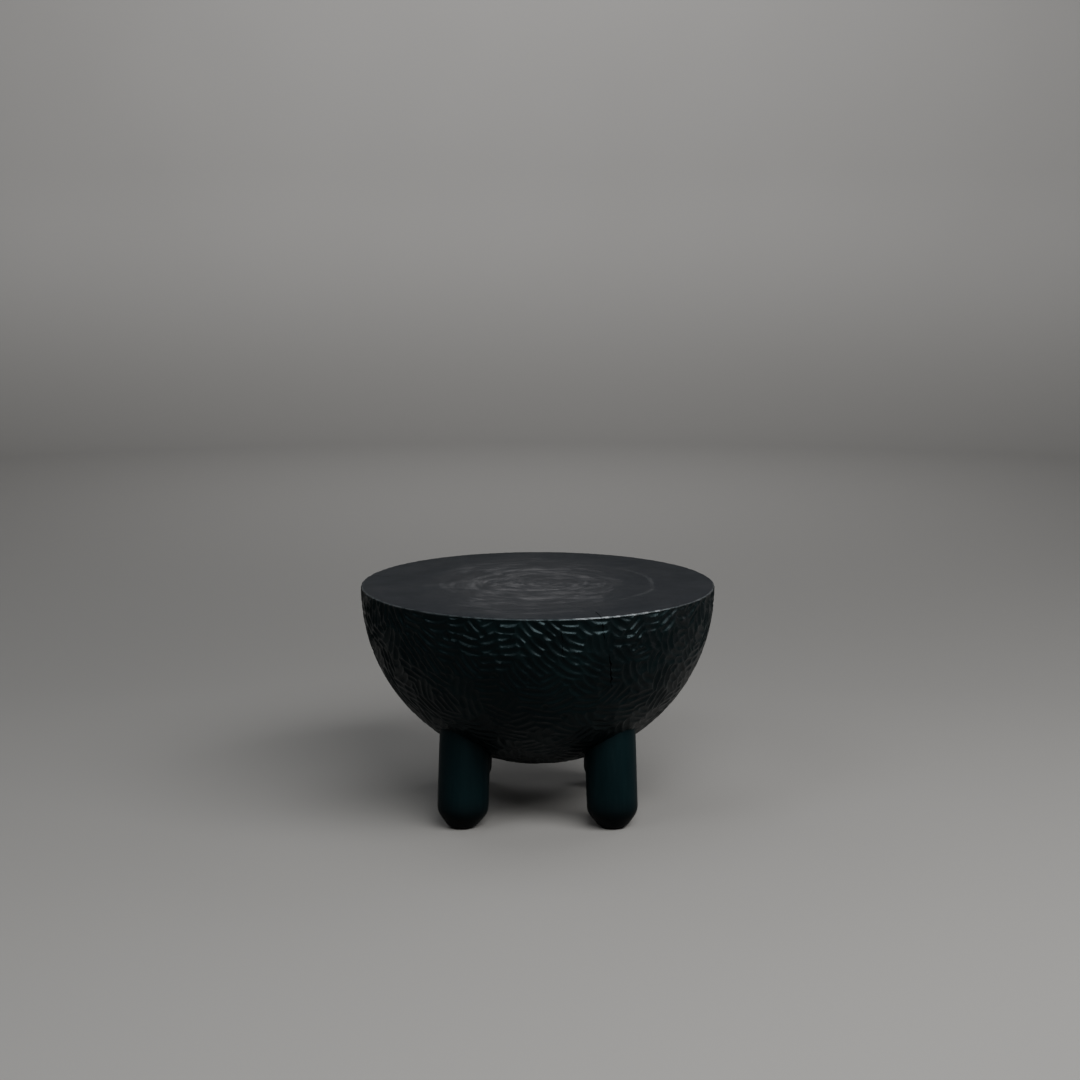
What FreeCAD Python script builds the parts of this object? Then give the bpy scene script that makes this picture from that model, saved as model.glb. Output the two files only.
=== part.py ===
import FreeCAD, Part
import Sketcher
import math
import os

from FreeCAD import Vector

# A solid wooden coffee table: half a ball with its flat side up, carried by four round legs that splay outwards.
# Millimetres and degrees. The origin is on the floor under the middle of the table, +Z is up, the front is -Y.

# Name of the cell, value, what it is
SIZES = (
    ("table_height", 455, "floor to the flat top"),
    ("bowl_radius", 350, "radius of the ball that the block is worked to"),
    ("equator_drop", 7, "how far the widest circle of the ball lies under the top"),
    ("rim_bevel", 2.5, "height of the bevel round the top, and its width"),
    ("leg_radius", 50, "radius of the straight part of a leg"),
    ("leg_spread", 208, "middle of the table to the axis of a leg, on the floor"),
    ("leg_splay", 3, "lean of a leg's axis from upright, outwards at the foot"),
    ("first_leg_angle", 45, "direction of the first leg, from +X"),
    ("foot_taper_width", 28, "how much the taper at the foot takes off the leg's radius"),
    ("foot_taper_angle", 45, "slope of that taper, from the leg's axis"),
    ("socket_margin", 12, "depth of the full-width socket past the ball's surface at its outer side"),
    ("glue_gap", 0.25, "room for glue round the leg and round its tenon"),
    ("tenon_radius", 22.5, "radius of the tenon"),
    ("tenon_length", 60, "length of the tenon above its shoulder"),
    ("tenon_end_room", 3, "room between the tenon and the bottom of its mortise"),
    ("kerf_width", 2.5, "width of the kerf at its closed end"),
    ("kerf_depth", 46, "depth of the kerf from the end of the tenon"),
    ("wedge_thickness", 7, "thick end of the wedge, which is how far it opens the kerf"),
    ("wedge_length", 40, "length of the wedge"),
    ("pad_thickness", 4, "thickness of the felt under a foot"),
    ("pad_inset", 2, "how far the corners of the felt stay inside the sole's edge"),
    ("cut_overrun", 2, "how far a cut runs past the surface that it starts from"),
)

LEG_PLACES = ("rear_right", "rear_left", "front_left", "front_right")

document = FreeCAD.newDocument("CoffeeTable")
sheet = document.addObject("Spreadsheet::Sheet", "Sizes")
for row, (alias, value, note) in enumerate(SIZES, start=1):
    sheet.set(f"A{row}", alias)
    sheet.set(f"B{row}", str(value))
    sheet.set(f"C{row}", note)
    sheet.setAlias(f"B{row}", alias)
document.recompute()

# Sizes that follow from the driving ones, as expressions in the sheet's names
ball_height = "(Sizes.table_height - Sizes.equator_drop)"

# Along a leg's own axis, from the floor up: the ball's middle, and how far that lies off the axis
ball_along = f"(Sizes.leg_spread * sin(Sizes.leg_splay) + {ball_height} * cos(Sizes.leg_splay))"
ball_aside = f"({ball_height} * sin(Sizes.leg_splay) - Sizes.leg_spread * cos(Sizes.leg_splay))"
outer_meeting = f"({ball_along} - sqrt(Sizes.bowl_radius ^ 2 - (Sizes.leg_radius - {ball_aside}) ^ 2))"
shoulder = f"({outer_meeting} + Sizes.socket_margin)"
tenon_end = f"({shoulder} + Sizes.tenon_length)"
mortise_end = f"({tenon_end} + Sizes.tenon_end_room)"

sole_radius = "(Sizes.leg_radius - Sizes.foot_taper_width)"
taper_top = "(Sizes.pad_thickness + Sizes.foot_taper_width / tan(Sizes.foot_taper_angle))"

kerf_bottom = f"({tenon_end} - Sizes.kerf_depth)"
wedge_bottom = f"({tenon_end} - Sizes.wedge_length)"
wedge_gain = "(Sizes.wedge_thickness - Sizes.kerf_width) * (1 - Sizes.wedge_length / Sizes.kerf_depth)"


def value_of(expression):
    """The number that an expression gives with the sheet as it is."""
    return float(sheet.evalExpression(expression))


def new_body(label):
    body = document.addObject("PartDesign::Body", label)
    body.Label = label
    return body


def new_sketch(body, plane, name):
    """An empty sketch on one of the body's own origin planes."""
    sketch = body.newObject("Sketcher::SketchObject", f"{body.Name}_{name}")
    support = next(item for item in body.Origin.OriginFeatures if item.Role == plane)
    sketch.AttachmentSupport = (support, [""])
    sketch.MapMode = "FlatFace"
    return sketch


def hold_size(sketch, rule, expression):
    """Adds a constraint whose value follows an expression."""
    index = sketch.addConstraint(rule)
    sketch.setExpression(f"Constraints[{index}]", expression)


def hold_point(sketch, element, end, x, y):
    """Ties one end of a sketch element to a place given as two expressions."""
    for kind, axis, expression in (("DistanceX", -2, x), ("DistanceY", -1, y)):
        if expression == "0":
            sketch.addConstraint(Sketcher.Constraint("PointOnObject", element, end, axis))
        else:
            rule = Sketcher.Constraint(kind, -1, 1, element, end, value_of(expression))
            hold_size(sketch, rule, expression)


def left_arc(start, end, radius):
    """The short arc from start to end that turns to the left."""
    chord = end - start
    to_middle = math.sqrt(radius ** 2 - chord.Length ** 2 / 4)
    left = Vector(-chord.y, chord.x, 0).normalize()
    circle = Part.Circle((start + end) / 2 + left * to_middle, Vector(0, 0, 1), radius)
    return Part.ArcOfCircle(circle, circle.parameter(start), circle.parameter(end))


def draw_outline(sketch, corners):
    """Closed outline. A corner is two expressions, and a third is the radius of an arc to the next one."""
    points = [Vector(value_of(corner[0]), value_of(corner[1]), 0) for corner in corners]
    for corner, start, end in zip(corners, points, points[1:] + points[:1]):
        if len(corner) == 3:
            arc = sketch.addGeometry(left_arc(start, end, value_of(corner[2])))
            rule = Sketcher.Constraint("Radius", arc, value_of(corner[2]))
            hold_size(sketch, rule, corner[2])
        else:
            sketch.addGeometry(Part.LineSegment(start, end))
    for number, corner in enumerate(corners):
        before = (number - 1) % len(corners)
        sketch.addConstraint(Sketcher.Constraint("Coincident", before, 2, number, 1))
        hold_point(sketch, number, 1, corner[0], corner[1])


def draw_circle(sketch, radius):
    """Circle about the sketch's origin."""
    shape = Part.Circle(Vector(0, 0, 0), Vector(0, 0, 1), value_of(radius))
    circle = sketch.addGeometry(shape)
    hold_point(sketch, circle, 3, "0", "0")
    hold_size(sketch, Sketcher.Constraint("Radius", circle, shape.Radius), radius)


def turn_outline(body, sketch, kind="PartDesign::Revolution", axis="V_Axis"):
    """Adds or cuts the full turn of a sketch about its vertical axis or one of its own edges."""
    feature = body.newObject(kind, f"{sketch.Name}_turned")
    feature.Profile = sketch
    feature.ReferenceAxis = (sketch, [axis])
    feature.Angle = 360
    document.recompute()
    return feature


def cut_through(body, sketch):
    """Cuts the sketch's outline away on both sides of its plane."""
    pocket = body.newObject("PartDesign::Pocket", f"{sketch.Name}_cut")
    pocket.Profile = sketch
    pocket.Type = "ThroughAll"
    pocket.Midplane = True
    document.recompute()
    return pocket


def on_leg(along, aside):
    """A place along and off the axis of the leg at +X, in the upright plane through both."""
    x = f"Sizes.leg_spread - {along} * sin(Sizes.leg_splay) + {aside} * cos(Sizes.leg_splay)"
    y = f"{along} * cos(Sizes.leg_splay) + {aside} * sin(Sizes.leg_splay)"
    return x, y


def make_bowl():
    """The block, with a stepped socket for each leg bored along that leg's leaning axis."""
    body = new_body("bowl_block")
    body.setExpression(
        "Placement", "placement(vector(0; 0; 0); rotation(vector(0; 0; 1); Sizes.first_leg_angle))"
    )

    bevel_foot = "sqrt(Sizes.bowl_radius ^ 2 - (Sizes.equator_drop - Sizes.rim_bevel) ^ 2)"
    section = new_sketch(body, "XZ_Plane", "section")
    draw_outline(section, (
        ("0", f"{ball_height} - Sizes.bowl_radius", "Sizes.bowl_radius"),
        (bevel_foot, "Sizes.table_height - Sizes.rim_bevel"),
        (f"{bevel_foot} - Sizes.rim_bevel", "Sizes.table_height"),
        ("0", "Sizes.table_height"),
    ))
    turn_outline(body, section)

    socket_radius = "(Sizes.leg_radius + Sizes.glue_gap)"
    mortise_radius = "(Sizes.tenon_radius + Sizes.glue_gap)"
    socket = new_sketch(body, "XZ_Plane", "socket")
    draw_outline(socket, (
        on_leg("0", "0"),
        on_leg("0", socket_radius),
        on_leg(shoulder, socket_radius),
        on_leg(shoulder, mortise_radius),
        on_leg(mortise_end, mortise_radius),
        on_leg(mortise_end, "0"),
    ))
    leg_axis = f"Edge{socket.GeometryCount}"
    bore = turn_outline(body, socket, "PartDesign::Groove", leg_axis)
    ring = body.newObject("PartDesign::PolarPattern", "socket_ring")
    ring.Originals = [bore]
    ring.Axis = (socket, ["V_Axis"])
    ring.Angle = 360
    ring.Occurrences = len(LEG_PLACES)
    body.Tip = ring
    return body


def leg_direction(number):
    return f"(Sizes.first_leg_angle + {number} * 360 / {len(LEG_PLACES)})"


def stand_on_leg(body, number):
    """Puts a body that is made upright about the leg's own axis onto one of the leg's places."""
    turn = leg_direction(number)
    body.setExpression(
        "Placement",
        f"placement(vector(Sizes.leg_spread * cos({turn}); Sizes.leg_spread * sin({turn}); 0);"
        f" rotation(vector(0; 0; 1); {turn}) * rotation(vector(0; 1; 0); -Sizes.leg_splay))",
    )


def draw_leg_section(section):
    """Half the section of the leg as it is turned: foot, straight shaft, shoulder and tenon."""
    spare = "(Sizes.leg_radius * tan(Sizes.leg_splay) + Sizes.cut_overrun)"
    draw_outline(section, (
        ("0", f"Sizes.pad_thickness - {spare}"),
        (f"{sole_radius} - {spare} * tan(Sizes.foot_taper_angle)", f"Sizes.pad_thickness - {spare}"),
        ("Sizes.leg_radius", taper_top),
        ("Sizes.leg_radius", shoulder),
        ("Sizes.tenon_radius", shoulder),
        ("Sizes.tenon_radius", tenon_end),
        ("0", tenon_end),
    ))


def cut_sole(body):
    """Cuts the foot level for the leaning leg."""
    reach = "(Sizes.leg_radius + Sizes.cut_overrun)"
    sole = "Sizes.pad_thickness / cos(Sizes.leg_splay)"
    rise = f"{reach} * tan(Sizes.leg_splay)"
    sketch = new_sketch(body, "XZ_Plane", "sole")
    draw_outline(sketch, (
        (f"-{reach}", f"-{reach}"),
        (reach, f"-{reach}"),
        (reach, f"{sole} - {rise}"),
        (f"-{reach}", f"{sole} + {rise}"),
    ))
    cut_through(body, sketch)


def cut_kerf(body):
    """The kerf across the tenon, opened by its wedge."""
    kerf = new_sketch(body, "XZ_Plane", "kerf")
    draw_outline(kerf, (
        ("-Sizes.kerf_width / 2", kerf_bottom),
        ("Sizes.kerf_width / 2", kerf_bottom),
        ("Sizes.wedge_thickness / 2", tenon_end),
        ("Sizes.wedge_thickness / 2", f"{tenon_end} + Sizes.cut_overrun"),
        ("-Sizes.wedge_thickness / 2", f"{tenon_end} + Sizes.cut_overrun"),
        ("-Sizes.wedge_thickness / 2", tenon_end),
    ))
    cut_through(body, kerf)


def make_leg(number, place):
    """A round leg with a level sole, and the tenon that goes up into the block."""
    body = new_body(f"leg_{place}")
    section = new_sketch(body, "XZ_Plane", "section")
    draw_leg_section(section)
    turn_outline(body, section)
    cut_sole(body)
    cut_kerf(body)
    stand_on_leg(body, number)
    return body


def make_wedge(number, place):
    """The wedge that fills the kerf, its edges rounded like the tenon."""
    body = new_body(f"tenon_wedge_{place}")
    thin_half = f"(Sizes.kerf_width + {wedge_gain}) / 2"
    side = new_sketch(body, "XZ_Plane", "side")
    draw_outline(side, (
        (f"-{thin_half}", wedge_bottom),
        (thin_half, wedge_bottom),
        ("Sizes.wedge_thickness / 2", tenon_end),
        ("-Sizes.wedge_thickness / 2", tenon_end),
    ))
    board = body.newObject("PartDesign::Pad", f"{body.Name}_board")
    board.Profile = side
    board.Midplane = True
    board.setExpression("Length", "2 * Sizes.tenon_radius")
    document.recompute()

    ends = new_sketch(body, "XY_Plane", "ends")
    draw_circle(ends, "Sizes.tenon_radius")
    draw_circle(ends, "2 * Sizes.tenon_radius")
    cut_through(body, ends)
    stand_on_leg(body, number)
    return body


def make_pad(number, place):
    """The square of felt under a foot, centred where the leg's axis meets the sole."""
    body = new_body(f"felt_pad_{place}")
    reach = f"({sole_radius} - Sizes.pad_inset)"
    outline = new_sketch(body, "XY_Plane", "outline")
    draw_outline(outline, (("0", f"-{reach}"), (reach, "0"), ("0", reach), (f"-{reach}", "0")))
    square = body.newObject("PartDesign::Pad", f"{body.Name}_square")
    square.Profile = outline
    square.setExpression("Length", "Sizes.pad_thickness")
    turn = leg_direction(number)
    spread = "(Sizes.leg_spread - Sizes.pad_thickness * tan(Sizes.leg_splay))"
    body.setExpression(
        "Placement",
        f"placement(vector({spread} * cos({turn}); {spread} * sin({turn}); 0);"
        f" rotation(vector(0; 0; 1); {turn}))",
    )
    return body


pieces = [make_bowl()]
for number, place in enumerate(LEG_PLACES):
    pieces += [make_leg(number, place), make_wedge(number, place), make_pad(number, place)]
document.recompute()

for item in document.Objects:
    if "Invalid" in item.State or "Error" in item.State:
        raise SystemExit(f"{item.Name} failed: {item.State}")
for piece in pieces:
    if piece.Shape.isNull() or not piece.Shape.isValid() or len(piece.Shape.Solids) != 1:
        raise SystemExit(f"{piece.Label} is not one valid solid")

os.makedirs("parts", exist_ok=True)
for piece in pieces:
    piece.Shape.exportStep(f"parts/{piece.Label}.step")
    print(f"{piece.Label}: {piece.Shape.Volume / 1000:.1f} cm3")
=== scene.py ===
import math
import random

import bpy
import numpy as np
from mathutils import Matrix, Vector


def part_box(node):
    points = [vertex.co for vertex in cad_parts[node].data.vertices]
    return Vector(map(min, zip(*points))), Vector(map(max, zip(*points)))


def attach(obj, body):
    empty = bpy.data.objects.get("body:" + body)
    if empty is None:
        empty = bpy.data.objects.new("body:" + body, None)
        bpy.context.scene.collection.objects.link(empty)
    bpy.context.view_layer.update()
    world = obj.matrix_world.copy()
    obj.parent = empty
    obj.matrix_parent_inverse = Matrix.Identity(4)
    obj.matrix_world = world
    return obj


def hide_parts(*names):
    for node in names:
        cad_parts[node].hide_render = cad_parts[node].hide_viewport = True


# A black coffee table: half a ball of gouged wood with its smooth flat side up, on four thick round legs.
# Metres. The front is -Y. Azimuths run from the front to the right, seen from the camera.

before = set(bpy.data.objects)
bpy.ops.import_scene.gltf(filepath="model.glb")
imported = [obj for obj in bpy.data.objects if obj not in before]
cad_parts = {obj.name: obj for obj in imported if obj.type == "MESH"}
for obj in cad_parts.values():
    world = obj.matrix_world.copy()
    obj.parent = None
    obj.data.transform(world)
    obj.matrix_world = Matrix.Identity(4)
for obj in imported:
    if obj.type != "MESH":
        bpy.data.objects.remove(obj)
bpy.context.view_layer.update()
LEG_PLACES = ("rear_right", "rear_left", "front_left", "front_right")

# The ball, from the frame
bowl_low, bowl_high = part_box("bowl_block")
BALL_RADIUS = (bowl_high.x - bowl_low.x) / 2
TOP = bowl_high.z
BALL_MIDDLE = Vector((0, 0, bowl_low.z + BALL_RADIUS))
EQUATOR_DROP = TOP - BALL_MIDDLE.z
RIM_ROUND = 0.0035

# Heights of directions from the ball's middle: the top's edge, the highest middle of a patch of cuts, and
# where the cuts are taken that show along the rim
TOP_EDGE_RISE = 0.02
HIGHEST_PATCH_RISE = 0.03
RIM_CUTS_RISE = 0.002

# The ball's mesh: rings of columns that halve towards the bottom and the middle of the top
MESH_STEP = 0.0015
HALVINGS = 7
RIM_ROWS = 5
TOP_STEPS = (0.001, 0.002, 0.003, 0.004, 0.006, 0.008)
TOP_ROWS = 10
FEWEST_TOP_COLUMNS = 128
CARVED_FACES = 380000

# The legs, as in the solids but for the two rounds of the taper
LEG_RADIUS = 0.05
LEG_SPREAD = 0.208
LEG_SPLAY = math.radians(3)
FIRST_LEG_ANGLE = math.radians(45)
LEG_COLUMNS = 120
SHAFT_STEP = 0.006
SOLE_RADIUS = 0.022
SOLE_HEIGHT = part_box("felt_pad_front_left")[1].z
TAPER_ANGLE = math.radians(38)
TAPER_UPPER_ROUND = 0.034
TAPER_UPPER_ROWS = 10
TAPER_LOWER_ROUND = 0.014
TAPER_LOWER_ROWS = 8
SOCKET_MARGIN = 0.012
SOCKET_COLUMNS = 128
GLUE_GAP = 0.00025
TENON_RADIUS = 0.0225
TENON_LENGTH = 0.06
TENON_END_ROOM = 0.003
TENON_END_ROUND = 0.002
KERF_WIDTH = 0.0025
KERF_DEPTH = 0.046
KERF_OVERRUN = 0.002
WEDGE_THICKNESS = 0.007

# Unevenness of a leg that was smoothed by hand: depth, wavelength, and how it is drawn out along the leg
LEG_WEAR = 0.00035
LEG_WAVE = 0.06
LEG_WAVE_STRETCH = (1, 1, 0.35)
LEG_SEED = 40

# Heights along a leg's axis from the floor, as on the frame: where the ball's outer side meets it, then the
# shoulder and the tenon's end
ball_along = LEG_SPREAD * math.sin(LEG_SPLAY) + BALL_MIDDLE.z * math.cos(LEG_SPLAY)
ball_aside = BALL_MIDDLE.z * math.sin(LEG_SPLAY) - LEG_SPREAD * math.cos(LEG_SPLAY)
outer_meeting = ball_along - math.sqrt(BALL_RADIUS ** 2 - (LEG_RADIUS - ball_aside) ** 2)
SHOULDER = outer_meeting + SOCKET_MARGIN
TENON_END = SHOULDER + TENON_LENGTH

# The felt squares
FELT_INSET = 0.0004
FELT_COLUMNS = 96
FELT_CORNER_POWER = 9
FELT_FUZZ = 0.00035
FELT_EDGE_SHARE = 0.93
FELT_SEED = 70

# From the middle of a felt's underside to the middle of its upper side: shares of half its width and of its
# thickness
FELT_ROW_SHARES = (
    (0.0, 0.0), (0.35, 0.0), (0.7, 0.0), (0.93, 0.0), (0.985, 0.10), (1.0, 0.3),
    (1.0, 0.7), (0.985, 0.92), (0.95, 1.0), (0.7, 1.0), (0.35, 1.0), (0.0, 1.0),
)

# The gouge cuts
CUT_PITCH = 0.0152
LONGEST_CUT = 0.056
SHORTEST_CUT = 0.008
CUT_OVERLAP = 0.0055
CUT_DEPTH = 0.0044
CUT_UPPER_RADIUS = 0.0165
CUT_LIP_SLOPE = 0.74
CUT_LIP_ROUND = 0.0009
CUT_VALLEY_SHIFT = 0.0036
CUT_BEND_RADIUS = 0.064
CUT_END_POWER = 2.1
CUT_SEARCH_SHARE = 1.2
LEAST_CUT = 0.0003
CARVING_SEED = 11

# The gentle side of every cut faces up, and this share of that to the right
GENTLE_SIDE_LEAN = 0.4

# How the cuts vary: shares of their pitch, overlap and depth, then how far they stray across, along and in
# direction, in metres and radians
PITCH_SHARES = (0.9, 1.12)
OVERLAP_SHARES = (0.6, 1.4)
DEPTH_SHARES = (0.75, 1.05)
ROW_WANDER = 0.001
CUT_WANDER = 0.0015
CUT_TURN = 0.09

# Cuts lie in patches. One that the photo doesn't show differs from its nearest neighbour by PATCH_TURNS in
# direction, in radians
PATCH_SIZE = 0.038
PATCH_REACH = 0.06
PATCH_STEP = 0.002
PATCH_TRIES = 9000
PATCH_TURNS = (0.6, 1.3)

# Depth and wavelength of the waves over the whole block
SURFACE_WAVES = ((0.0004, 0.09), (0.00012, 0.011))

# The cuts are shallower at the rim and low on the ball: shares of their depth, and where it changes
RIM_DEPTH_SHARE = 0.75
RIM_FADE = 0.005
RIM_FADE_POWER = 0.7
LOW_DEPTH_SHARE = 0.5
LOW_FADE_DROP = 0.07
LOW_FADE = 0.16

# How far the rim and the top's edge follow the cuts, and over what width that ends
RIM_FOLLOWS_SHARE = 0.5
TOP_EDGE = 0.011
TOP_EDGE_FADE = 0.006

# Patches of cuts that the photo shows: azimuth and drop under the top, then how the cuts fall to the right,
# all in degrees but for the drop, which is in millimetres
SEEN_PATCHES = (
    (-50, 18, 60), (-43, 12, 5), (-37, 62, 35), (-32, 16, -5), (-30, 70, 3), (-25, 18, -3), (-21, 49, 9),
    (-19, 14, 55), (-15, 12, -44), (-15, 42, -25), (-13, 85, -5), (-9, 17, -3), (-9, 44, -12), (-4, 26, 50),
    (0, 10, 42), (-1, 52, 38), (-1, 90, 45), (5, 18, 50), (7, 50, 48), (10, 16, 2), (11, 40, 18),
    (14, 18, 56), (18, 12, 6), (19, 48, 80), (18, 95, 30), (26, 20, 48), (32, 20, -44), (37, 14, 3),
    (29, 47, 0), (29, 74, 46), (35, 80, -8), (38, 56, 55), (47, 62, 78), (45, 20, -30), (15, 140, 40),
    (-3, 160, 7), (-16, 140, -5), (27, 158, -50), (39, 140, 40),
)

# Drying cracks, in degrees and millimetres: the points of each, then its width and its depth. A point is its
# azimuth with its drop under the top on the side, or with its distance from the middle in the top
CRACKS = (
    ("side", ((19.9, -1), (20.0, 12), (20.6, 30), (20.9, 50)), 2.6, 10),
    ("side", ((22.6, 68), (23.6, 92), (24.4, 116), (25.9, 152)), 3.8, 9),
    ("side", ((6.8, -1), (7.2, 22), (7.6, 50), (8.2, 92)), 2.2, 6),
    ("top", ((19.5, 352), (20.0, 338), (20.5, 320), (21.0, 296)), 2.2, 10),
    ("top", ((157.3, 353), (157.5, 345), (157.7, 335)), 3.0, 12),
    ("side", ((157.3, -1), (157.0, 25), (156.2, 60)), 2.8, 10),
    ("side", ((-104, -1), (-104.5, 30), (-103.4, 75), (-102.6, 120)), 2.4, 9),
    ("top", ((-104, 352), (-103.3, 330), (-102.6, 300)), 1.8, 9),
)
CRACK_STEP = 0.004
CRACK_JAG = 0.0011
CRACK_OVER = 0.006
CRACK_UNDER_BALL = 0.0012
CRACK_FLARE = 1.6
CRACK_OPEN_SHARES = (0.6, 1.1)
CRACK_OPEN_POWER = 0.6
CRACK_END_SHARE = 0.03
CRACK_SEED = 5


def new_object(name, vertices, faces):
    mesh = bpy.data.meshes.new(name)
    mesh.from_pydata(vertices, [], faces)
    mesh.update()
    piece = bpy.data.objects.new(name, mesh)
    bpy.context.scene.collection.objects.link(piece)
    return piece


def applied(piece):
    """Puts the modifiers' result into the piece's own mesh."""
    graph = bpy.context.evaluated_depsgraph_get()
    mesh = bpy.data.meshes.new_from_object(piece.evaluated_get(graph))
    piece.modifiers.clear()
    piece.data = mesh
    return piece


def cut_away(piece, cutters):
    """Takes closed meshes out of a closed mesh, then removes them."""
    for cutter in cutters:
        modifier = piece.modifiers.new("cut", "BOOLEAN")
        modifier.operation = "DIFFERENCE"
        modifier.solver = "MANIFOLD"
        modifier.object = cutter
    applied(piece)
    for cutter in cutters:
        bpy.data.objects.remove(cutter)


def smooth(piece, angle):
    """Smooth shading, with edges sharper than the angle left crisp."""
    piece.data.shade_smooth()
    piece.data.set_sharp_from_angle(angle=math.radians(angle))


def ripple(points, wavelength, rng, terms=6):
    """A smooth random field over points, about -1 to 1."""
    total = np.zeros(len(points))
    for _ in range(terms):
        direction = rng.normal(size=3)
        direction *= 2 * math.pi / wavelength / np.linalg.norm(direction)
        total += np.sin(points @ direction + rng.uniform(0, 2 * math.pi))
    return total / math.sqrt(terms) / 1.4


def stitched(rings):
    """Faces between rings of vertices, each (first vertex, count), where a ring has as many, half or one."""
    faces = []
    for (low, below), (high, above) in zip(rings, rings[1:]):
        if below == 1:
            faces += [(low, high + (i + 1) % above, high + i) for i in range(above)]
        elif above == 1:
            faces += [(high, low + i, low + (i + 1) % below) for i in range(below)]
        elif below == above:
            for i in range(below):
                j = (i + 1) % below
                faces.append((low + i, low + j, high + j, high + i))
        else:
            fine, coarse, flip = (low, high, False) if below > above else (high, low, True)
            count, full = min(below, above), max(below, above)
            for i in range(count):
                a, b, c = (fine + (2 * i + k) % full for k in range(3))
                p, q = coarse + i, coarse + (i + 1) % count
                for face in ((p, a, b), (p, b, q), (q, b, c)):
                    faces.append(face[::-1] if flip else face)
    return faces


def turned(name, profile, columns):
    """A mesh turned about Z from (radius, height) pairs, closed where they start and end on the axis."""
    vertices, rings = [], []
    for radius, height in profile:
        count = 1 if radius == 0 else columns
        rings.append((len(vertices), count))
        for i in range(count):
            turn = 2 * math.pi * i / columns
            vertices.append((radius * math.cos(turn), radius * math.sin(turn), height))
    return new_object(name, vertices, stitched(rings))


def on_ball(azimuth, drop):
    """The direction from the ball's middle to a place at an azimuth in degrees and a drop under the top."""
    height = min((EQUATOR_DROP - drop) / BALL_RADIUS, TOP_EDGE_RISE)
    across = math.sqrt(1 - height ** 2)
    turn = math.radians(azimuth)
    return np.array((math.sin(turn) * across, -math.cos(turn) * across, height))


def tangents(direction):
    """To the right and up along the ball, as seen from outside."""
    right = np.array((-direction[1], direction[0], 0.0))
    size = np.linalg.norm(right)
    right = right / size if size > 1e-6 else np.array((1.0, 0.0, 0.0))
    return right, np.cross(direction, right)


def cut_patches(rng):
    """Middles and falls of the patches: those that the photo shows, then others spread over the rest."""
    middles = [on_ball(azimuth, drop / 1000) for azimuth, drop, _ in SEEN_PATCHES]
    falls = [math.radians(fall) for _, _, fall in SEEN_PATCHES]
    for _ in range(PATCH_TRIES):
        place = rng.normal(size=3)
        place /= np.linalg.norm(place)
        away = np.linalg.norm(np.array(middles) - place, axis=1)
        fall = falls[np.argmin(away)] + rng.choice((-1, 1)) * rng.uniform(*PATCH_TURNS)
        if place[2] < HIGHEST_PATCH_RISE and np.min(away) > PATCH_SIZE / BALL_RADIUS:
            middles.append(place)
            falls.append(fall)
    return np.array(middles), falls


def gouge_cuts(rng):
    """Each cut as (middle, along, across, half length, depth), side by side from edge to edge of a patch."""
    middles, falls = cut_patches(rng)
    cuts = []
    rows = int(2 * PATCH_SIZE / CUT_PITCH)
    run = np.arange(-PATCH_REACH, PATCH_REACH + PATCH_STEP / 2, PATCH_STEP)
    for number, (middle, fall) in enumerate(zip(middles, falls)):
        right, up = tangents(middle)
        along = right * math.cos(fall) - up * math.sin(fall)
        across = np.cross(middle, along)
        shift = rng.uniform(0, 1)
        pitch = CUT_PITCH * rng.uniform(*PITCH_SHARES)
        for row in range(-rows, rows + 1):
            y = (row + shift) * pitch + rng.normal(scale=ROW_WANDER)
            line = middle + (along * run[:, None] + across * y) / BALL_RADIUS
            inside = run[np.argmax(line @ middles.T, axis=1) == number]
            if not len(inside) or np.ptp(inside) < SHORTEST_CUT:
                continue
            parts = math.ceil(np.ptp(inside) / LONGEST_CUT)
            length = np.ptp(inside) / parts
            for part in range(parts):
                x = inside[0] + (part + 0.5) * length + rng.normal(scale=CUT_WANDER)
                place = middle + (along * x + across * y) / BALL_RADIUS
                place /= np.linalg.norm(place)
                turn = rng.normal(scale=CUT_TURN)
                to = along * math.cos(turn) + across * math.sin(turn)
                to -= place * (to @ place)
                to /= np.linalg.norm(to)
                if np.cross(place, to) @ (up + GENTLE_SIDE_LEAN * right) < 0:
                    to = -to
                half = length / 2 + CUT_OVERLAP * rng.uniform(*OVERLAP_SHARES)
                depth = CUT_DEPTH * rng.uniform(*DEPTH_SHARES)
                cuts.append((place, to, np.cross(place, to), half, depth))
    return cuts


def carved_depths(directions, rng):
    """How deep the gouge went in each direction from the ball's middle. A cut is gentle above, with a steep
    lip below."""
    depths = np.full(len(directions), LEAST_CUT)
    for place, along, across, half, depth in gouge_cuts(rng):
        reach = CUT_SEARCH_SHARE * max(half, CUT_PITCH) / BALL_RADIUS
        near = np.nonzero(directions @ place > math.cos(reach))[0]
        if not len(near):
            continue
        spot = directions[near]
        x = spot @ along * BALL_RADIUS
        y = spot @ across * BALL_RADIUS
        above = y - x ** 2 / (2 * CUT_BEND_RADIUS) + CUT_VALLEY_SHIFT
        lip = CUT_LIP_SLOPE * (np.sqrt(above ** 2 + CUT_LIP_ROUND ** 2) - CUT_LIP_ROUND)
        rise = np.where(above > 0, above ** 2 / (2 * CUT_UPPER_RADIUS), lip)
        cut = depth * (1 - np.abs(x / half) ** CUT_END_POWER) - rise
        depths[near] = np.maximum(depths[near], cut)
    return depths


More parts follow.
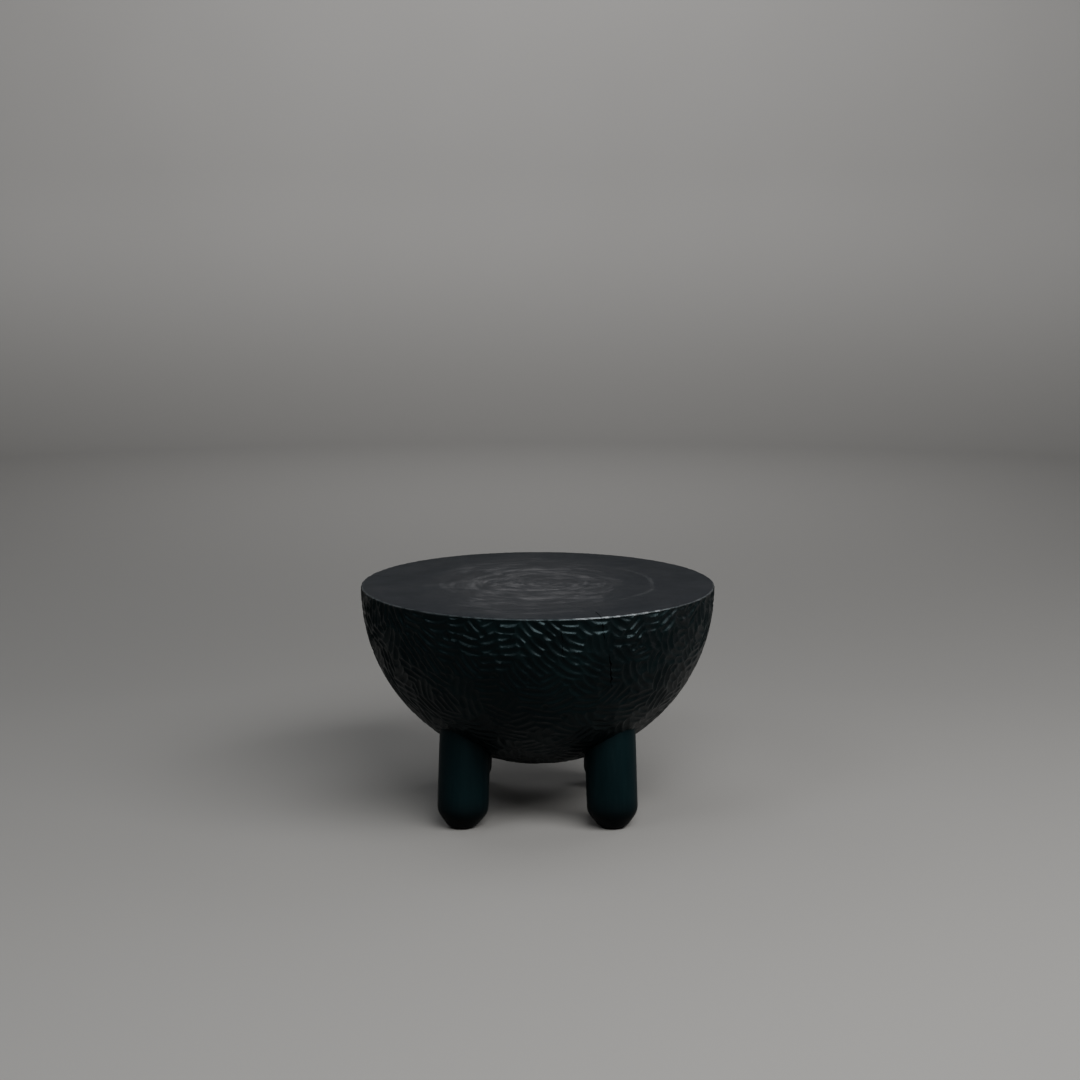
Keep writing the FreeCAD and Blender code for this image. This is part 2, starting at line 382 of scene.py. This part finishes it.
def bowl_rings():
    """(radius, height, columns, kind) of each ring from the ball's lowest point to the middle of the top."""
    reach = BALL_RADIUS - RIM_ROUND
    rise = math.asin((EQUATOR_DROP - RIM_ROUND) / reach)
    ball_end = math.pi / 2 + rise
    count = round(BALL_RADIUS * ball_end / MESH_STEP)
    full = 2 ** HALVINGS * round(2 * math.pi * BALL_RADIUS / MESH_STEP / 2 ** HALVINGS)
    rings = [(0, BALL_MIDDLE.z - BALL_RADIUS, 1, "ball")]
    for i in range(1, count + 1):
        turn = ball_end * i / count
        radius = BALL_RADIUS * math.sin(turn)
        halvings = min(HALVINGS - 1, int(math.log2(BALL_RADIUS / radius) + 0.3))
        rings.append((radius, BALL_MIDDLE.z - BALL_RADIUS * math.cos(turn), full // 2 ** halvings, "ball"))
    edge = reach * math.cos(rise)
    for i in range(1, RIM_ROWS + 1):
        turn = rise + (math.pi / 2 - rise) * i / RIM_ROWS
        height = TOP - RIM_ROUND + RIM_ROUND * math.sin(turn)
        rings.append((edge + RIM_ROUND * math.cos(turn), height, full, "rim"))
    columns, radius = full, edge
    for step in TOP_STEPS:
        radius -= step
        columns = columns // 2 if columns > FEWEST_TOP_COLUMNS else columns
        rings.append((radius, TOP, columns, "top"))
    for i in range(TOP_ROWS - 1, 0, -1):
        rings.append((radius * i / TOP_ROWS, TOP, columns, "top"))
    rings.append((0, TOP, 1, "top"))
    return rings


def carved_ball():
    """The block as one closed mesh: the gouged ball, the rounded rim and the flat top."""
    rng = np.random.default_rng(CARVING_SEED)
    vertices, rings, kinds = [], [], []
    for radius, height, columns, kind in bowl_rings():
        rings.append((sum(len(ring) for ring in vertices), columns))
        turns = 2 * np.pi * np.arange(columns) / columns
        heights = np.full(columns, height)
        vertices.append(np.column_stack((radius * np.cos(turns), radius * np.sin(turns), heights)))
        kinds += [kind] * columns
    points = np.vstack(vertices)
    on_side = np.array(kinds) == "ball"

    # On the rim and the top, the cuts are those of the widest part of the ball below
    out = (points - np.array(BALL_MIDDLE)) / BALL_RADIUS
    level = np.column_stack((points[:, 0], points[:, 1], np.full(len(points), RIM_CUTS_RISE)))
    level /= np.maximum(np.linalg.norm(level, axis=1), 1e-6)[:, None]
    depths = carved_depths(np.where(on_side[:, None], out, level), rng)
    depths += sum(depth * (1 + ripple(points, wavelength, rng)) / 2 for depth, wavelength in SURFACE_WAVES)

    # Towards the rim and the bottom the cuts get shallower, and the rim itself only follows them a little
    under_rim = (BALL_MIDDLE.z + EQUATOR_DROP - RIM_ROUND) - points[:, 2]
    fade = RIM_DEPTH_SHARE + (1 - RIM_DEPTH_SHARE) * np.clip(under_rim / RIM_FADE, 0, 1) ** RIM_FADE_POWER
    fade *= 1 - (1 - LOW_DEPTH_SHARE) * np.clip((under_rim - LOW_FADE_DROP) / LOW_FADE, 0, 1)
    from_axis = np.hypot(points[:, 0], points[:, 1])
    follows = np.clip((from_axis - (BALL_RADIUS - TOP_EDGE)) / TOP_EDGE_FADE, 0, 1)
    flat = level * (depths * RIM_FOLLOWS_SHARE * follows)[:, None]
    flat[:, 2] = 0
    moved = points - np.where(on_side[:, None], out * (depths * fade)[:, None], flat)

    bowl = new_object("carved_block", moved.tolist(), stitched(rings))
    group = bowl.vertex_groups.new(name="carved")
    group.add(np.nonzero(on_side)[0].tolist(), 1, "REPLACE")
    triangles = sum(len(face.vertices) - 2 for face in bowl.data.polygons)
    modifier = bowl.modifiers.new("fewer", "DECIMATE")
    modifier.ratio = CARVED_FACES / triangles
    modifier.vertex_group = "carved"
    return applied(bowl)


def leg_matrix(number):
    turn = FIRST_LEG_ANGLE + number * math.pi / 2
    foot = Vector((LEG_SPREAD * math.cos(turn), LEG_SPREAD * math.sin(turn), 0))
    return Matrix.Translation(foot) @ Matrix.Rotation(turn, 4, "Z") @ Matrix.Rotation(-LEG_SPLAY, 4, "Y")


def socket_cutter(number):
    """The stepped socket of one leg as a closed solid."""
    socket, mortise = LEG_RADIUS + GLUE_GAP, TENON_RADIUS + GLUE_GAP
    mortise_end = TENON_END + TENON_END_ROOM
    profile = ((0, SOLE_HEIGHT), (socket, SOLE_HEIGHT), (socket, SHOULDER), (mortise, SHOULDER),
               (mortise, mortise_end), (0, mortise_end))
    cutter = turned("socket", profile, SOCKET_COLUMNS)
    cutter.data.transform(leg_matrix(number))
    return cutter


def crack_route(kind, points):
    """(place, outward) pairs of a crack in the side or in the top."""
    route = []
    for azimuth, distance in points:
        if kind == "side":
            out = Vector(on_ball(azimuth, distance / 1000))
            place = BALL_MIDDLE + out * (BALL_RADIUS - CRACK_UNDER_BALL)
        else:
            out = Vector((0, 0, 1))
            turn, radius = math.radians(azimuth), distance / 1000
            place = Vector((math.sin(turn) * radius, -math.cos(turn) * radius, TOP))
        route.append((place, out))
    return route


def crack_cutter(route, width, depth, rng):
    """A jagged blade along a crack's route, fine at both ends."""
    steps = []
    for (start, out_a), (end, out_b) in zip(route, route[1:]):
        count = max(2, round((end - start).length / CRACK_STEP))
        steps += [(start.lerp(end, i / count), out_a.lerp(out_b, i / count)) for i in range(count)]
    steps.append(route[-1])
    last = len(steps) - 1
    vertices, faces = [], []
    for i, (place, out) in enumerate(steps):
        ahead = (steps[min(i + 1, last)][0] - steps[max(i - 1, 0)][0]).normalized()
        out = out.normalized()
        side = ahead.cross(out).normalized()
        share = min(max(i / last, CRACK_END_SHARE), 1 - CRACK_END_SHARE)
        opening = math.sin(math.pi * share) ** CRACK_OPEN_POWER * rng.uniform(*CRACK_OPEN_SHARES)
        half = width * opening / 2
        place = place + side * rng.uniform(-1, 1) * CRACK_JAG
        over = place + out * CRACK_OVER
        vertices.append(place - out * depth * opening)
        vertices += [over - side * half * CRACK_FLARE, over + side * half * CRACK_FLARE]
        if i:
            a, b = 3 * (i - 1), 3 * i
            for k, m in ((0, 1), (1, 2), (2, 0)):
                faces.append((a + k, a + m, b + m, b + k))
    faces.append((2, 1, 0))
    faces.append((3 * last, 3 * last + 1, 3 * last + 2))
    cutter = new_object("crack", vertices, faces)
    volume = 0
    for first, *others in faces:
        for second, third in zip(others, others[1:]):
            volume += vertices[first].dot(vertices[second].cross(vertices[third]))
    if volume < 0:
        cutter.data.flip_normals()
    return cutter


def make_bowl():
    """The gouged block with its cracks and the sockets for the legs."""
    rng = random.Random(CRACK_SEED)
    bowl = carved_ball()
    cracks = [
        crack_cutter(crack_route(kind, points), width / 1000, depth / 1000, rng)
        for kind, points, width, depth in CRACKS
    ]
    cut_away(bowl, cracks)
    cut_away(bowl, [socket_cutter(number) for number in range(len(LEG_PLACES))])
    smooth(bowl, angle=48)
    return bowl


def leg_profile():
    """(radius, height along the axis) from the middle of the sole to the middle of the tenon's end."""
    side_turn = math.pi / 2 - TAPER_ANGLE
    low_radius = SOLE_RADIUS + TAPER_LOWER_ROUND * math.sin(side_turn)
    low_height = SOLE_HEIGHT + TAPER_LOWER_ROUND * (1 - math.cos(side_turn))
    high_radius = LEG_RADIUS - TAPER_UPPER_ROUND * (1 - math.cos(TAPER_ANGLE))
    high_height = low_height + (high_radius - low_radius) / math.tan(TAPER_ANGLE)
    taper_top = high_height + TAPER_UPPER_ROUND * math.sin(TAPER_ANGLE)
    profile = [(0, SOLE_HEIGHT), (SOLE_RADIUS * 0.5, SOLE_HEIGHT)]
    for i in range(TAPER_LOWER_ROWS + 1):
        turn = side_turn * i / TAPER_LOWER_ROWS
        profile.append((SOLE_RADIUS + TAPER_LOWER_ROUND * math.sin(turn),
                        SOLE_HEIGHT + TAPER_LOWER_ROUND * (1 - math.cos(turn))))
    for i in range(TAPER_UPPER_ROWS + 1):
        turn = TAPER_ANGLE * (1 - i / TAPER_UPPER_ROWS)
        profile.append((LEG_RADIUS - TAPER_UPPER_ROUND * (1 - math.cos(turn)),
                        taper_top - TAPER_UPPER_ROUND * math.sin(turn)))
    start = profile[-1][1]
    rows = round((SHOULDER - start) / SHAFT_STEP)
    for i in range(1, rows + 1):
        profile.append((LEG_RADIUS, start + (SHOULDER - start) * i / rows))
    profile += [
        (TENON_RADIUS, SHOULDER),
        (TENON_RADIUS, TENON_END - TENON_END_ROUND),
        (TENON_RADIUS - TENON_END_ROUND, TENON_END),
        (0, TENON_END),
    ]
    return profile


def kerf_cutter():
    """The wedge-shaped slot in the end of the tenon."""
    reach = TENON_RADIUS * 1.5
    bottom, over = TENON_END - KERF_DEPTH, TENON_END + KERF_OVERRUN
    narrow, wide = KERF_WIDTH / 2, WEDGE_THICKNESS / 2
    outline = ((-narrow, bottom), (narrow, bottom), (wide, TENON_END), (wide, over), (-wide, over),
               (-wide, TENON_END))
    count = len(outline)
    vertices = [(x, y, z) for y in (-reach, reach) for x, z in outline]
    faces = [tuple(range(count)), tuple(range(2 * count - 1, count - 1, -1))]
    faces += [((i + 1) % count, i, count + i, count + (i + 1) % count) for i in range(count)]
    return new_object("kerf", vertices, faces)


def make_leg(number, place):
    """One leg, turned and then smoothed by hand, with its level sole and its tenon."""
    leg = turned(f"leg_shaped_{place}", leg_profile(), LEG_COLUMNS)
    rng = np.random.default_rng(LEG_SEED + number)
    points = np.array([vertex.co for vertex in leg.data.vertices])
    axis_share = np.clip((points[:, 2] - SOLE_HEIGHT) / (LEG_RADIUS - SOLE_RADIUS), 0, 1)
    under_block = points[:, 2] < SHOULDER - SOCKET_MARGIN
    shaft = under_block & (np.hypot(points[:, 0], points[:, 1]) > TENON_RADIUS)
    worn = LEG_WEAR * (1 + ripple(points * LEG_WAVE_STRETCH, LEG_WAVE, rng)) / 2
    scale = 1 - np.where(shaft, worn, 0) / LEG_RADIUS
    points[:, 0] *= scale
    points[:, 1] *= scale

    # The sole is level though the leg leans, and the taper works that lean off on its way up
    points[:, 2] += (1 - axis_share) * points[:, 0] * math.tan(-LEG_SPLAY)
    leg.data.vertices.foreach_set("co", points.ravel())
    leg.data.update()
    cut_away(leg, [kerf_cutter()])
    leg.data.transform(leg_matrix(number))
    smooth(leg, angle=40)
    return leg


def make_felt(place):
    """A square of felt with soft corners and a fuzzy, slightly crushed edge."""
    low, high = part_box(f"felt_pad_{place}")
    half = (high.x - low.x) / 2 - FELT_INSET
    thickness = high.z - low.z
    rng = np.random.default_rng(FELT_SEED)
    vertices, rings = [], []
    for share, height in FELT_ROW_SHARES:
        count = 1 if share == 0 else FELT_COLUMNS
        rings.append((len(vertices), count))
        for i in range(count):
            turn = 2 * math.pi * i / FELT_COLUMNS
            c, s = math.cos(turn), math.sin(turn)
            corner = (abs(c) ** FELT_CORNER_POWER + abs(s) ** FELT_CORNER_POWER) ** (-1 / FELT_CORNER_POWER)
            fuzz = FELT_FUZZ * rng.uniform(-1, 1) if FELT_EDGE_SHARE < share else 0
            r = share * half * corner + fuzz
            x, y = (low.x + high.x) / 2 + r * c, (low.y + high.y) / 2 + r * s
            vertices.append((x, y, low.z + height * thickness))
    felt = new_object(f"felt_square_{place}", vertices, stitched(rings))
    smooth(felt, angle=70)
    return felt


class Looks:
    """One material's nodes, with short calls to add them."""

    def __init__(self, name):
        self.material = bpy.data.materials.new(name)
        self.material.use_nodes = True
        self.tree = self.material.node_tree
        self.shader = self.tree.nodes["Principled BSDF"]
        self.place = self.tree.nodes.new("ShaderNodeTexCoord").outputs["Object"]

    def add(self, kind, inputs, **settings):
        node = self.tree.nodes.new("ShaderNode" + kind)
        for name, value in settings.items():
            setattr(node, name, value)
        for name, value in inputs.items():
            self.put(node.inputs[name], value)
        return node.outputs

    def put(self, socket, value):
        if isinstance(value, bpy.types.NodeSocket):
            self.tree.links.new(value, socket)
        else:
            socket.default_value = value

    def maths(self, operation, first, second=0.0, third=0.0):
        return self.add("Math", {0: first, 1: second, 2: third}, operation=operation)[0]

    def times(self, first, second):
        return self.maths("MULTIPLY", first, second)

    def vector(self, operation, first, second):
        return self.add("VectorMath", {0: first, 1: second}, operation=operation)[0]

    def length(self, vector):
        return self.add("VectorMath", {0: vector}, operation="LENGTH")["Value"]

    def stretched(self, scale, place=None):
        """The place scaled by a vector, to draw a pattern out along one axis."""
        return self.vector("MULTIPLY", place or self.place, scale)

    def noise(self, place, scale, detail, roughness, distortion=0.0):
        inputs = {"Vector": place, "Scale": scale, "Detail": detail, "Roughness": roughness,
                  "Distortion": distortion}
        return self.add("TexNoise", inputs)["Fac"]

    def spread(self, value, low, high, to_low=0.0, to_high=1.0):
        inputs = {"Value": value, "From Min": low, "From Max": high, "To Min": to_low, "To Max": to_high}
        return self.add("MapRange", inputs, interpolation_type="SMOOTHSTEP")[0]

    def near(self, value, middle, outer, inner):
        """One where a value is within the inner distance of a middle, and nothing beyond the outer one."""
        return self.spread(self.maths("ABSOLUTE", self.maths("SUBTRACT", value, middle)), outer, inner)

    def blend(self, share, first, second):
        node = self.tree.nodes.new("ShaderNodeMix")
        node.data_type = "RGBA"
        self.put(node.inputs["Factor"], share)
        self.put(node.inputs["A"], first)
        self.put(node.inputs["B"], second)
        return node.outputs["Result"]

    def bump(self, height, strength, distance, normal=None):
        inputs = {"Height": height, "Strength": strength, "Distance": distance}
        if normal is not None:
            inputs["Normal"] = normal
        return self.add("Bump", inputs)["Normal"]

    def shade(self, **sockets):
        for name, value in sockets.items():
            self.put(self.shader.inputs[name.replace("_", " ")], value)
        return self.material


def rgb(red, green, blue):
    return (red, green, blue, 1.0)


def side_colour(look, xyz, grain, dust):
    """Upright grain, stain that lies unevenly, and grey dust towards the right, which also paints that side
    lighter as painted light.
    """
    patchy = look.noise(look.place, 9.0, 5.0, 0.6)
    deep, thin = rgb(0.0003, 0.0011, 0.0013), rgb(0.0008, 0.0026, 0.0029)
    colour = look.blend(look.spread(patchy, 0.35, 0.68), deep, thin)
    raised = look.times(look.spread(grain, 0.5, 0.8), 0.5)
    colour = look.blend(raised, colour, rgb(0.0027, 0.0050, 0.0055))
    # Grey dust spots, spread to the right so that side is painted lighter: partly dust, partly painted light
    dust_and_painted_light = look.times(look.spread(xyz["X"], 0.05, 0.34), look.spread(dust, 0.45, 0.7))
    return look.blend(look.times(dust_and_painted_light, 0.75), colour, rgb(0.0088, 0.0082, 0.0090))


def top_colour(look, xyz, cloud):
    """End grain with rings about a heart beside the middle, worn pale there and along two of the rings. The
    finest rings are handed back too, for the bump."""
    heart, left_ring, right_ring = (-0.006, 0.004, 0.0), 0.149, 0.236
    level = look.stretched((1.0, 1.0, 0.0), look.vector("ADD", look.place, heart))
    true_radius = look.length(level)
    wander = look.noise(level, 8.0, 6.0, 0.62)
    radius = look.maths("MULTIPLY_ADD", wander, 0.034, look.maths("SUBTRACT", true_radius, 0.0045))
    across = look.add("CombineXYZ", {"X": radius})[0]
    rings = look.noise(across, 300.0, 2.0, 0.6)
    bands = look.noise(across, 55.0, 3.0, 0.6)
    early, late = rgb(0.0010, 0.0011, 0.0023), rgb(0.0022, 0.0024, 0.0038)
    colour = look.blend(look.spread(bands, 0.35, 0.7), early, late)

    # Worn streaks follow the rings, over an oval round the middle. The swing keeps them whole at the heart
    arcs = look.noise(look.vector("ADD", across, look.stretched((0.10, 0.10, 0.0))), 120.0, 6.0, 0.72)
    swing = look.maths("DIVIDE", 0.05, look.maths("ADD", true_radius, 0.05))
    around = look.add("VectorMath", {0: level, "Scale": swing}, operation="SCALE")[0]
    around = look.vector("ADD", around, look.stretched((0.10, 0.22, 0.0)))
    outwards = look.add("CombineXYZ", {"Z": radius})[0]
    smears = look.noise(look.vector("ADD", around, outwards), 52.0, 4.0, 0.66)
    faint = look.times(look.spread(arcs, 0.46, 0.68), 0.5)
    streaks = look.maths("ADD", look.spread(smears, 0.42, 0.68), faint)
    oval = look.length(look.stretched((1.3, 0.8, 0.0), look.vector("ADD", look.place, (0.02, 0.02, 0.0))))
    glow = look.spread(look.maths("MULTIPLY_ADD", wander, 0.10, oval), 0.36, 0.12)
    glow = look.times(glow, look.spread(cloud, 0.34, 0.62, 0.30, 1.0))
    worn = look.times(look.maths("MULTIPLY_ADD", streaks, 0.75, 0.16), glow)
    colour = look.blend(worn, colour, rgb(0.034, 0.0330, 0.0350))

    # Two rings that show as pale, broken arcs
    left_arc = look.times(look.near(radius, left_ring, 0.012, 0.002), look.spread(xyz["X"], -0.06, -0.13))
    right_arc = look.times(look.near(radius, right_ring, 0.006, 0.001), look.spread(xyz["X"], 0.12, 0.21))
    dashes = look.spread(look.noise(look.place, 34.0, 4.0, 0.6), 0.38, 0.56, 0.12, 0.42)
    lines = look.times(look.maths("ADD", left_arc, look.times(right_arc, 0.45)), dashes)
    colour = look.blend(lines, colour, rgb(0.042, 0.042, 0.044))
    fine = look.times(look.spread(rings, 0.56, 0.7), 0.35)
    return look.blend(fine, colour, rgb(0.0028, 0.0031, 0.0040)), rings


def rim_wear_and_painted_highlight(look, xyz):
    """How pale the rim is painted: stain rubbed off its rounded edge, and a painted highlight most at the
    front right.
    """
    out = look.length(look.stretched((1.0, 1.0, 0.0)))
    rim = look.times(look.spread(xyz["Z"], TOP - 0.0036, TOP - 0.0018), look.spread(out, 0.3455, 0.3472))
    # The front-right weighting is a painted highlight, where the lamps catch the rounded rim
    right_of = look.spread(xyz["X"], 0.03, 0.12, 0.10, 1.0)
    left_of = look.spread(xyz["X"], 0.25, 0.21, 0.12, 1.0)
    front = look.spread(xyz["Y"], 0.1, -0.1, 0.2, 1.0)
    uneven = look.spread(look.noise(look.place, 60.0, 4.0, 0.6), 0.38, 0.56, 0.25, 1.0)
    return look.times(rim, look.times(look.times(look.times(right_of, left_of), front), uneven))


def bowl_wood():
    """Black stained wood: gouged side grain on the ball, sanded end grain with its rings on the top."""
    look = Looks("black_carved_wood")
    xyz = look.add("SeparateXYZ", {0: look.place})
    grain = look.noise(look.stretched((1.0, 1.0, 0.03)), 420.0, 5.0, 0.65)
    dust = look.noise(look.place, 70.0, 6.0, 0.7)
    cloud = look.noise(look.place, 11.0, 5.0, 0.62)
    top, rings = top_colour(look, xyz, cloud)
    on_top = look.spread(xyz["Z"], TOP - 0.0012, TOP - 0.0003)
    colour = look.blend(on_top, side_colour(look, xyz, grain, dust), top)
    # The pale rim band: rubbed stain, with a painted highlight at the front right
    colour = look.blend(rim_wear_and_painted_highlight(look, xyz), colour, rgb(0.120, 0.128, 0.135))
    side_rough = look.spread(dust, 0.3, 0.75, 0.33, 0.46)
    top_rough = look.spread(cloud, 0.3, 0.7, 0.50, 0.60)
    rough = look.add("Mix", {0: on_top, 2: side_rough, 3: top_rough})[0]

    # Raised grain over the gouge's fine chatter on the side, and the rings on the top
    chatter = look.bump(dust, 0.35, 0.0006)
    normal = look.blend(on_top, look.bump(grain, 0.3, 0.0005, chatter), look.bump(rings, 0.10, 0.0003))
    return look.shade(Base_Color=colour, Roughness=rough, Specular_IOR_Level=0.118,
                      Specular_Tint=rgb(0.66, 0.91, 1.0), Normal=normal)


def leg_wood():
    """Black stained wood, sanded smooth, with its grain along the leg and painted shade darkening the feet.
    """
    look = Looks("black_leg_wood")
    grain = look.noise(look.stretched((1.0, 1.0, 0.035)), 260.0, 6.0, 0.65)
    broad = look.noise(look.stretched((1.0, 1.0, 0.12)), 34.0, 4.0, 0.6)
    deep, thin = rgb(0.0009, 0.0040, 0.0049), rgb(0.0015, 0.0056, 0.0067)
    colour = look.blend(look.spread(broad, 0.35, 0.7), deep, thin)
    raised = look.times(look.spread(grain, 0.5, 0.75), 0.5)
    colour = look.blend(raised, colour, rgb(0.0022, 0.0073, 0.0085))
    height = look.add("SeparateXYZ", {0: look.place})["Z"]
    # Painted shade: the wood is darkened towards the floor, over the feet
    colour = look.blend(look.spread(height, 0.075, 0.02, 0.0, 0.85), colour, rgb(0.0004, 0.0009, 0.0011))
    rough = look.spread(grain, 0.3, 0.75, 0.40, 0.52)
    normal = look.bump(grain, 0.18, 0.0004)
    return look.shade(Base_Color=colour, Roughness=rough, Specular_IOR_Level=0.05, Normal=normal)


def wedge_wood():
    """Bare hardwood, seen only when the joint is apart."""
    look = Looks("bare_hardwood")
    grain = look.noise(look.stretched((1.0, 1.0, 0.06)), 180.0, 5.0, 0.6)
    colour = look.blend(look.spread(grain, 0.35, 0.7), rgb(0.42, 0.27, 0.14), rgb(0.62, 0.45, 0.27))
    return look.shade(Base_Color=colour, Roughness=0.6, Normal=look.bump(grain, 0.2, 0.0004))


def felt_wool():
    """Dense black wool felt."""
    look = Looks("black_felt")
    fibres = look.noise(look.place, 1400.0, 6.0, 0.75, 1.2)
    clumps = look.noise(look.place, 260.0, 4.0, 0.6)
    colour = look.blend(look.spread(fibres, 0.35, 0.7), rgb(0.010, 0.010, 0.011), rgb(0.038, 0.038, 0.040))
    normal = look.bump(fibres, 0.7, 0.0005, look.bump(clumps, 0.4, 0.0006))
    return look.shade(Base_Color=colour, Roughness=0.95, Sheen_Weight=0.4, Sheen_Roughness=0.5,
                      Normal=normal)


def stage_paint():
    """Plain pale matt paint, a shade darker on the floor than on the walls."""
    look = Looks("pale_stage")
    tone = look.noise(look.place, 1.2, 3.0, 0.5)
    walls = look.blend(tone, rgb(0.178, 0.1755, 0.1715), rgb(0.193, 0.1905, 0.1865))
    height = look.add("SeparateXYZ", {0: look.place})["Z"]
    colour = look.blend(look.spread(height, 0.0, 1.1), rgb(0.113, 0.1115, 0.1085), walls)
    return look.shade(Base_Color=colour, Roughness=0.85, Specular_IOR_Level=0.2)


def dress(piece, material, slot, *nodes):
    """Gives a piece its material and its place on the frame."""
    piece.data.materials.clear()
    piece.data.materials.append(material)
    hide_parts(*nodes)
    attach(piece, "root")


def make_stage():
    """A round pale floor that curves up into a wall on all sides."""
    floor_radius, cove, cove_rows, wall_top, columns = 5.6, 1.2, 12, 4.6, 128
    profile = [(0, 0), (1.5, 0), (3.5, 0), (floor_radius, 0)]
    for i in range(1, cove_rows + 1):
        turn = math.pi / 2 * i / cove_rows
        profile.append((floor_radius + cove * math.sin(turn), cove * (1 - math.cos(turn))))
    profile.append((floor_radius + cove, wall_top))
    stage = turned("studio_floor", profile, columns)
    stage.data.flip_normals()
    stage.data.shade_smooth()
    stage.data.materials.append(stage_paint())


def add_light(name, place, target, wide, high, power, tint):
    light = bpy.data.lights.new(name, "AREA")
    light.shape = "RECTANGLE"
    light.size = wide
    light.size_y = high
    light.energy = power
    light.color = tint
    lamp = bpy.data.objects.new(name, light)
    lamp.location = place
    lamp.rotation_euler = (Vector(place) - Vector(target)).to_track_quat("Z", "Y").to_euler()
    lamp.visible_camera = False
    bpy.context.scene.collection.objects.link(lamp)


def light_scene():
    """Soft boxes in front, above and behind, and a wash over the wall on each side."""
    table = (0, 0, 0.4)
    warm, neutral, cool = (1.0, 0.99, 0.97), (1.0, 0.99, 0.98), (0.97, 0.99, 1.0)
    add_light("key", (1.27, -2.02, 2.58), table, 3.6, 1.3, 315, warm)
    add_light("front", (-1.6, -1.9, 2.65), table, 1.0, 1.0, 38, cool)
    add_light("overhead", (0.0, 0.2, 3.6), table, 2.2, 2.2, 45, neutral)
    add_light("rear_right", (2.25, 1.55, 2.5), table, 1.5, 1.5, 30, neutral)
    add_light("rear_left", (-1.9, 1.95, 2.5), table, 1.5, 1.5, 20, cool)
    away, height, wall, lit_height, size = 3.6, 3.5, 6.4, 1.4, 1.6
    washes = (("back", 0, 1, 212), ("front", 0, -1, 110), ("right", 1, 0, 110), ("left", -1, 0, 90))
    for side, x, y, power in washes:
        place, target = (away * x, away * y, height), (wall * x, wall * y, lit_height)
        add_light(f"{side}_wash", place, target, size, size, power, neutral)
    world = bpy.data.worlds.new("studio")
    bpy.context.scene.world = world
    world.use_nodes = True
    background = world.node_tree.nodes["Background"]
    background.inputs["Color"].default_value = rgb(0.86, 0.93, 1.0)
    background.inputs["Strength"].default_value = 0.14


def aim_camera():
    """The photo's view: 4.5 m away, a little above the table, looking down by ten degrees."""
    data = bpy.data.cameras.new("camera")
    data.lens = 75
    data.sensor_width = 36
    camera = bpy.data.objects.new("camera", data)
    camera.location = (0.0046, -4.377, 1.307)
    camera.rotation_euler = (math.radians(80.08), 0, 0)
    bpy.context.scene.collection.objects.link(camera)
    bpy.context.scene.camera = camera


make_stage()
light_scene()
aim_camera()

dress(make_bowl(), bowl_wood(), "carved_wood", "bowl_block")
leg_material, felt_material, wedge_material = leg_wood(), felt_wool(), wedge_wood()
for number, place in enumerate(LEG_PLACES):
    dress(make_leg(number, place), leg_material, "leg_wood", f"leg_{place}")
    felt = make_felt(place)
    dress(felt, felt_material, "felt", f"felt_pad_{place}")
    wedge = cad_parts[f"tenon_wedge_{place}"]
    for material_slot in wedge.material_slots:
        material_slot.material = wedge_material
